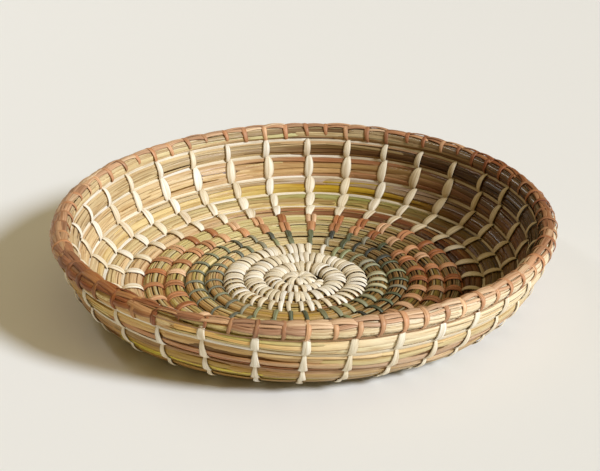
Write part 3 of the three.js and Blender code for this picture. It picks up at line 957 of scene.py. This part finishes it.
# Sewing of the wall
# Strands of cream leaf stand as petals in columns up the inside of the wall, and outside they widen
# downwards like a tooth. From one stitch to the next the strand lies in the seam as a pale line.

RIGHT_TONE_AND_SHADE = np.array([0.32, 0.38, 0.48])
SEAM_SHADE = linear("a98058")
PALE_LINE_TURNS = (-3.05, -2)


def wall_stitch(leaves, turn, after, tones):
    """A petal inside, darker to the right, partly its own tone and partly painted shade, and a tooth
    outside, or a plain strap on the upper round.
    """
    chance = leaves.chance
    tone = leaves.pick(tones, 0.95, 1.04)
    # Darker to the right: partly the strand's own tone and partly painted shade of the right wall; the seam
    # run below is darkened the same way, more strongly.
    tone_and_shade = 1 - RIGHT_TONE_AND_SHADE * np.clip(1.2 * math.cos(float(azimuth(turn))), 0, 1)
    lean = chance.uniform(-0.7, 0.7)
    upper = turn > UPPER_ROUNDS
    belly = chance.uniform(1.8, 2.4) if upper else chance.uniform(2.5, 3.5)
    lay_loop(leaves, turn, FACE, petal(top=0.8, belly=belly, foot=0.8), tone * tone_and_shade,
             top_along=0.9 + lean, foot_along=-0.5 - 0.5 * lean, bow=chance.uniform(-0.9, 0.9), proud=1.7)
    foot = chance.uniform(3.0, 3.8)
    strap = petal(top=1.8, belly=2.5, foot=1.7)
    tooth = np.interp(SHARE, (0, 0.3, 0.8, 1), (0.8, 1.5, foot, 0.85 * foot))
    lay_loop(leaves, turn, BACK, strap if upper else tooth, tone,
             top_along=-DRIFT / 2, foot_along=DRIFT / 2 + chance.uniform(0, 0.8),
             bow=chance.uniform(-0.4, 0.4), proud=float(np.interp(turn, KNUCKLE_TURNS, (0.7, 1.6))))
    lay_run(leaves, turn, after, lift=3.4, half_width=chance.uniform(0.9, 1.7),
            tone=leaves.pick(tones, 0.82, 1.02) * tone_and_shade ** 1.6)
    pale_line = PALE_LINE_TURNS[0] < turn < PALE_LINE_TURNS[1]
    lay_run(leaves, turn, after, lift=-4.3, half_width=chance.uniform(1.2, 1.6) if pale_line else 0.7,
            tone=leaves.pick(tones, 0.88, 1.0) if pale_line else SEAM_SHADE)


sew("wall", cream_leaf, seed=100, tones=CREAM, stitch=wall_stitch, thickness=0.13)


# Sewing of the rim
# Terracotta strands bind the last round: broad lengths of strand lie along its top, one over the
# other, and short slanting stitches, twice as close as on the wall, go over them.

RUST = tones_of("c8956a dcb48a b27a50 e6c8a2 be8458 a06a42")
RIM_STEP = 2.5
RIM_END_DIP = 0.7
RIM_HALF = 5
STITCH_POINTS = 27
STITCH_END = 250
FULL_FOOT = -70

# Where the rim is darkened as painted shade, on the right and at the front left where it lies in
# shade, and where it is paler: an azimuth in degrees, how much, and how close to it
RIM_PAINTED_SHADE = ((30, (0.44, 0.6, 0.7), 2.5), (225, (0.46, 0.65, 0.82), 2), (18, (0.3, 0.42, 0.5), 8))
RIM_PALER = ((300, 0.45, 3), (130, 0.4, 1))
PALE_RUST = linear("efd6b4")
RUDDY = np.array([0.9, 0.76, 0.66])
RUDDY_FROM = 0.1


def lay_along(leaves, start, end, angle, slant, half_width, tone, proud, arch):
    """A strand along the skin of its round, from one stitch to the next, its ends under the stitches."""
    turns = coil_steps(start, end, RIM_STEP)
    share = np.linspace(0, 1, len(turns))
    s, lift, lift_part, s_part = oval(turns, angle + slant * (share - 0.5))
    up = proud + arch * np.sin(math.pi * share) - RIM_END_DIP * np.abs(2 * share - 1) ** 6
    base = middle(turns)
    leaves.lay(place(turns, 0.0, base + s + s_part * up, lift + lift_part * up),
               facing(turns, 0.0, base, lift_part, s_part), half_width, tone)


def close_to(way, degrees, power):
    """1 at an azimuth, less to both sides of it and nothing from a quarter of a turn away."""
    return max(0.0, math.cos(way - math.radians(degrees))) ** power


def rim_stitch(leaves, turn, after, tones):
    """Lengths of strand along the top of the rim, and a stitch that slants over them."""
    chance = leaves.chance
    gap = after - turn
    small = min(1.0, float(half_across(turn)) / RIM_HALF)
    way = float(azimuth(turn))
    to_left = 0.5 - 0.5 * math.cos(way)
    # Painted shade: the strands are darkened on the right and at the front left, where the rim lies in
    # shade.
    rim_shade = 1.0
    for degrees, loss, power in RIM_PAINTED_SHADE:
        rim_shade = rim_shade * (1 - np.array(loss) * close_to(way, degrees, power))
    paler = sum(amount * close_to(way, degrees, power) for degrees, amount, power in RIM_PALER)

    def shaded_tone(least, most):
        return leaves.pick(tones, least, most) * rim_shade * (1 - paler) + PALE_RUST * paler

    # Each run: its angle in degrees, its half width, how far it stands proud, and its tone
    strand = shaded_tone(0.9, 1.15)
    runs = [(54, 1.5 + 1.1 * to_left, 0.3, shaded_tone(0.9, 1.2)),
            (110, 0.8 + 1.6 * to_left, 0.35, shaded_tone(0.9, 1.2)), (82, 2.2, 0.6, strand)]
    if chance.random() < 1.4 * to_left - 0.4:
        runs.insert(0, (138, 2.1, 0.3, shaded_tone(0.8, 1.1)))
    for angle, wide, proud, tone in runs:
        lay_along(leaves, turn - chance.uniform(0.0, 0.2) * gap, after + chance.uniform(0.0, 0.4) * gap,
                  angle=math.radians(angle + chance.uniform(-6, 6)),
                  slant=math.radians(chance.uniform(-24, 24)),
                  half_width=small * wide * chance.uniform(0.8, 1.2), tone=tone,
                  proud=proud + chance.uniform(0, 0.3), arch=chance.uniform(0.4, 1.2))
    share = np.linspace(0, 1, STITCH_POINTS)
    wide = 0.85 + 1.05 * np.sin(math.pi * share) + chance.uniform(-0.1, 1.4) * to_left * share
    foot = FULL_FOOT if chance.random() < 0.55 else chance.uniform(-40, -15)
    over = np.radians(np.linspace(foot, STITCH_END, STITCH_POINTS))
    proud = chance.uniform(1.0, 1.5) - 1.8 * np.maximum(0, 1 - share / 0.14) ** 2
    ruddy = RUDDY if paler > RUDDY_FROM else 1.0
    lay_loop(leaves, turn, over, small * wide, strand * ruddy * chance.uniform(0.9, 1.2),
             top_along=chance.uniform(0.8, 3.2), foot_along=chance.uniform(0.6, 3.0 + 1.5 * to_left),
             bow=-2.2, proud=proud)


sew("rim", rust_leaf, seed=140, tones=RUST, stitch=rim_stitch, thickness=0.2)


# Ground
# A plain pale sheet of ground that the basket stands on in the picture.
# It is not part of the basket.

GROUND_LEVEL = -0.2 * MM
GROUND_CORNERS = ((-5, -4), (5, -4), (5, 7), (-5, 7))
ground_mesh = bpy.data.meshes.new("ground")
ground_mesh.from_pydata([(x, y, GROUND_LEVEL) for x, y in GROUND_CORNERS], [], [(0, 1, 2, 3)])
ground = bpy.data.objects.new("ground", ground_mesh)
scene.collection.objects.link(ground)
pale_ground = bpy.data.materials.new("pale ground")
pale_ground.use_nodes = True
ground_shader = pale_ground.node_tree.nodes["Principled BSDF"]
ground_shader.inputs["Base Color"].default_value = (0.84, 0.85, 0.84, 1)
ground_shader.inputs["Roughness"].default_value = 0.9
ground_mesh.materials.append(pale_ground)


# Light
# Soft daylight from the right and a little in front, a long narrow window over the left side that
# glints on the satin leaf, a wide warm ceiling, and an even fill from all round.

def lamp(name, kind, position, power, colour):
    """A lamp that shines from its place at the middle of the basket."""
    data = bpy.data.lights.new(name, kind)
    data.energy = power
    data.color = colour
    obj = bpy.data.objects.new(name, data)
    obj.location = position
    obj.rotation_euler = (-Vector(position)).to_track_quat("-Z", "Y").to_euler()
    scene.collection.objects.link(obj)
    return data


sun = lamp("daylight", "SUN", (1.42, -0.89, 1.12), power=3.5, colour=(0.95, 1.0, 1.1))
sun.angle = math.radians(14)
WINDOW_PLACE = (-0.89, 0.57, 1.09)
WINDOW_LENGTHWAYS = (0.34, -2.14, 1.3)
window = lamp("window", "AREA", WINDOW_PLACE, power=3.2, colour=(1.0, 0.99, 0.97))
window.shape = "RECTANGLE"
window.size = 2.4
window.size_y = 0.08
out_of_window = Vector(WINDOW_PLACE).normalized()
length_way = Vector(WINDOW_LENGTHWAYS)
length_way = (length_way - length_way.dot(out_of_window) * out_of_window).normalized()
across_way = out_of_window.cross(length_way)
window_turn = Matrix((length_way, across_way, out_of_window)).transposed()
bpy.data.objects["window"].rotation_euler = window_turn.to_euler()
ceiling = lamp("ceiling", "AREA", (0.6, -0.3, 2.2), power=3.5, colour=(1.0, 0.78, 0.36))
ceiling.shape = "DISK"
ceiling.size = 2.5
world = bpy.data.worlds.new("studio")
world.use_nodes = True
fill = world.node_tree.nodes["Background"]
fill.inputs["Color"].default_value = (1.0, 0.76, 0.34, 1)
fill.inputs["Strength"].default_value = 0.27
scene.world = world
scene.view_settings.view_transform = "Standard"


# Camera
# A long lens in front of the basket, about 26 degrees above it and 1.3 m away.
# The small turns set the basket a little off the middle of the picture and tip it by half a degree.

SENSOR_WIDTH = 36.0
PICTURE_WIDTH = 600
FOCAL_PIXELS = 2200
CAMERA_DISTANCE = 1.327
CAMERA_HEIGHT = 26.0
PAN = math.radians(0.12)
TILT = math.radians(90 - CAMERA_HEIGHT + 1.48)
ROLL = math.radians(-0.59)
camera_data = bpy.data.cameras.new("camera")
camera_data.sensor_width = SENSOR_WIDTH
camera_data.lens = FOCAL_PIXELS / PICTURE_WIDTH * SENSOR_WIDTH
camera_data.clip_end = 50.0
camera = bpy.data.objects.new("camera", camera_data)
stand = math.radians(CAMERA_HEIGHT)
spot = Vector((0, -CAMERA_DISTANCE * math.cos(stand), CAMERA_DISTANCE * math.sin(stand)))
camera.matrix_world = (Matrix.Translation(spot) @ Matrix.Rotation(PAN, 4, "Z")
                       @ Matrix.Rotation(TILT, 4, "X") @ Matrix.Rotation(ROLL, 4, "Z"))
scene.collection.objects.link(camera)
scene.camera = camera
